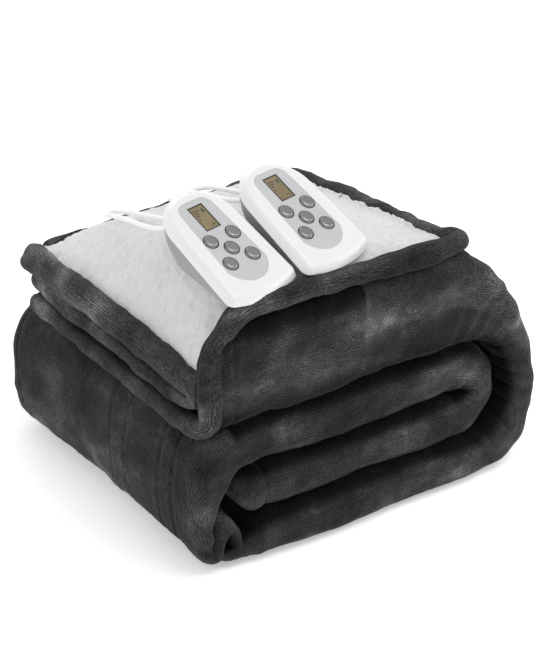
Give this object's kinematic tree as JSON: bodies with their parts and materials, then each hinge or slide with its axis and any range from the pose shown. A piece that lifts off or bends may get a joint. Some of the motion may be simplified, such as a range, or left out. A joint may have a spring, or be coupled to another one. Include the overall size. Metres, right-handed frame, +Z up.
{
  "type": "folded heated blanket with controllers",
  "caption": "Heated blanket of charcoal flannel and white sherpa, folded into a thick pile, with white hand controllers and their leads lying on top.",
  "frame": {"origin": "on the floor, under the middle of the folded blanket's footprint", "axes": "+Z up; -Y is the front face, where the rolls are seen end on; +X is the side with the big outer turn"},
  "size_m": [0.4, 0.4244, 0.3436],
  "materials": {
    "flannel": "matte",
    "hem": "matte",
    "sherpa": "matte",
    "wire_insulation": "satin",
    "connector_plastic": "satin",
    "white_plastic": "gloss",
    "base_plastic": "satin",
    "panel_grey": "satin",
    "display": "gloss",
    "module_plastic": "matte",
    "board": "satin",
    "membrane": "matte",
    "steel": "satin",
    "foot_rubber": "matte",
    "lead_vinyl": "satin",
    "plug_vinyl": "satin",
    "button_silver": "satin"
  },
  "bodies": {
    "blanket": {"bottom_fold": "flannel", "lower_inner_fold": "flannel", "upper_inner_fold": "flannel", "inner_turn": "flannel", "left_wrap": "flannel", "right_turn": "flannel", "top_fold": "flannel", "flap_edge_lower": "hem", "flap_edge_middle": "hem", "flap_edge_upper": "hem", "hem_front": "hem", "hem_back": "hem", "hem_corner": "hem", "hem_right": "hem", "sherpa_panel": "sherpa", "heating_wire_left": "wire_insulation", "heating_wire_right": "wire_insulation", "blanket_inlet_left": "connector_plastic", "blanket_inlet_right": "connector_plastic"},
    "controller_left": {"controller_left_top_shell": "white_plastic", "controller_left_base_shell": "base_plastic", "controller_left_face_panel": "panel_grey", "controller_left_display_lens": "display", "controller_left_display_module": "module_plastic", "controller_left_circuit_board": "board", "controller_left_keypad_membrane": "membrane", "controller_left_screws": "steel", "controller_left_feet": "foot_rubber", "controller_left_lead_gland": "lead_vinyl", "controller_left_outlet_socket": "connector_plastic", "controller_left_lead": "lead_vinyl", "controller_left_lead_coil": "lead_vinyl", "controller_left_plug": "plug_vinyl"},
    "controller_right": {"controller_right_top_shell": "white_plastic", "controller_right_base_shell": "base_plastic", "controller_right_face_panel": "panel_grey", "controller_right_display_lens": "display", "controller_right_display_module": "module_plastic", "controller_right_circuit_board": "board", "controller_right_keypad_membrane": "membrane", "controller_right_screws": "steel", "controller_right_feet": "foot_rubber", "controller_right_lead_gland": "lead_vinyl", "controller_right_outlet_socket": "connector_plastic", "controller_right_lead": "lead_vinyl", "controller_right_lead_coil": "lead_vinyl", "controller_right_plug": "plug_vinyl"},
    "controller_left_button_centre": {"controller_left_button_centre": "button_silver"},
    "controller_left_button_back_left": {"controller_left_button_back_left": "button_silver"},
    "controller_left_button_back_right": {"controller_left_button_back_right": "button_silver"},
    "controller_left_button_front_left": {"controller_left_button_front_left": "button_silver"},
    "controller_left_button_front_right": {"controller_left_button_front_right": "button_silver"},
    "controller_right_button_centre": {"controller_right_button_centre": "button_silver"},
    "controller_right_button_back_left": {"controller_right_button_back_left": "button_silver"},
    "controller_right_button_back_right": {"controller_right_button_back_right": "button_silver"},
    "controller_right_button_front_left": {"controller_right_button_front_left": "button_silver"},
    "controller_right_button_front_right": {"controller_right_button_front_right": "button_silver"}
  },
  "joints": [
    {"name": "controller_left_lift", "type": "slide", "parent": "blanket", "child": "controller_left", "axis": [0, 0, 1], "range_m": [0, 0.12]},
    {"name": "controller_left_button_centre_press", "type": "slide", "parent": "controller_left", "child": "controller_left_button_centre", "axis": [-0.0905, 0.4449, -0.891], "range_m": [0, 0.0008], "stiffness_N_per_m": 400, "springref_m": -0.0006},
    {"name": "controller_left_button_back_left_press", "type": "slide", "parent": "controller_left", "child": "controller_left_button_back_left", "axis": [-0.0905, 0.4449, -0.891], "range_m": [0, 0.0008], "stiffness_N_per_m": 400, "springref_m": -0.0006},
    {"name": "controller_left_button_back_right_press", "type": "slide", "parent": "controller_left", "child": "controller_left_button_back_right", "axis": [-0.0905, 0.4449, -0.891], "range_m": [0, 0.0008], "stiffness_N_per_m": 400, "springref_m": -0.0006},
    {"name": "controller_left_button_front_left_press", "type": "slide", "parent": "controller_left", "child": "controller_left_button_front_left", "axis": [-0.0905, 0.4449, -0.891], "range_m": [0, 0.0008], "stiffness_N_per_m": 400, "springref_m": -0.0006},
    {"name": "controller_left_button_front_right_press", "type": "slide", "parent": "controller_left", "child": "controller_left_button_front_right", "axis": [-0.0905, 0.4449, -0.891], "range_m": [0, 0.0008], "stiffness_N_per_m": 400, "springref_m": -0.0006},
    {"name": "controller_right_lift", "type": "slide", "parent": "blanket", "child": "controller_right", "axis": [0, 0, 1], "range_m": [0, 0.12]},
    {"name": "controller_right_button_centre_press", "type": "slide", "parent": "controller_right", "child": "controller_right_button_centre", "axis": [-0.0905, 0.4449, -0.891], "range_m": [0, 0.0008], "stiffness_N_per_m": 400, "springref_m": -0.0006},
    {"name": "controller_right_button_back_left_press", "type": "slide", "parent": "controller_right", "child": "controller_right_button_back_left", "axis": [-0.0905, 0.4449, -0.891], "range_m": [0, 0.0008], "stiffness_N_per_m": 400, "springref_m": -0.0006},
    {"name": "controller_right_button_back_right_press", "type": "slide", "parent": "controller_right", "child": "controller_right_button_back_right", "axis": [-0.0905, 0.4449, -0.891], "range_m": [0, 0.0008], "stiffness_N_per_m": 400, "springref_m": -0.0006},
    {"name": "controller_right_button_front_left_press", "type": "slide", "parent": "controller_right", "child": "controller_right_button_front_left", "axis": [-0.0905, 0.4449, -0.891], "range_m": [0, 0.0008], "stiffness_N_per_m": 400, "springref_m": -0.0006},
    {"name": "controller_right_button_front_right_press", "type": "slide", "parent": "controller_right", "child": "controller_right_button_front_right", "axis": [-0.0905, 0.4449, -0.891], "range_m": [0, 0.0008], "stiffness_N_per_m": 400, "springref_m": -0.0006}
  ]
}
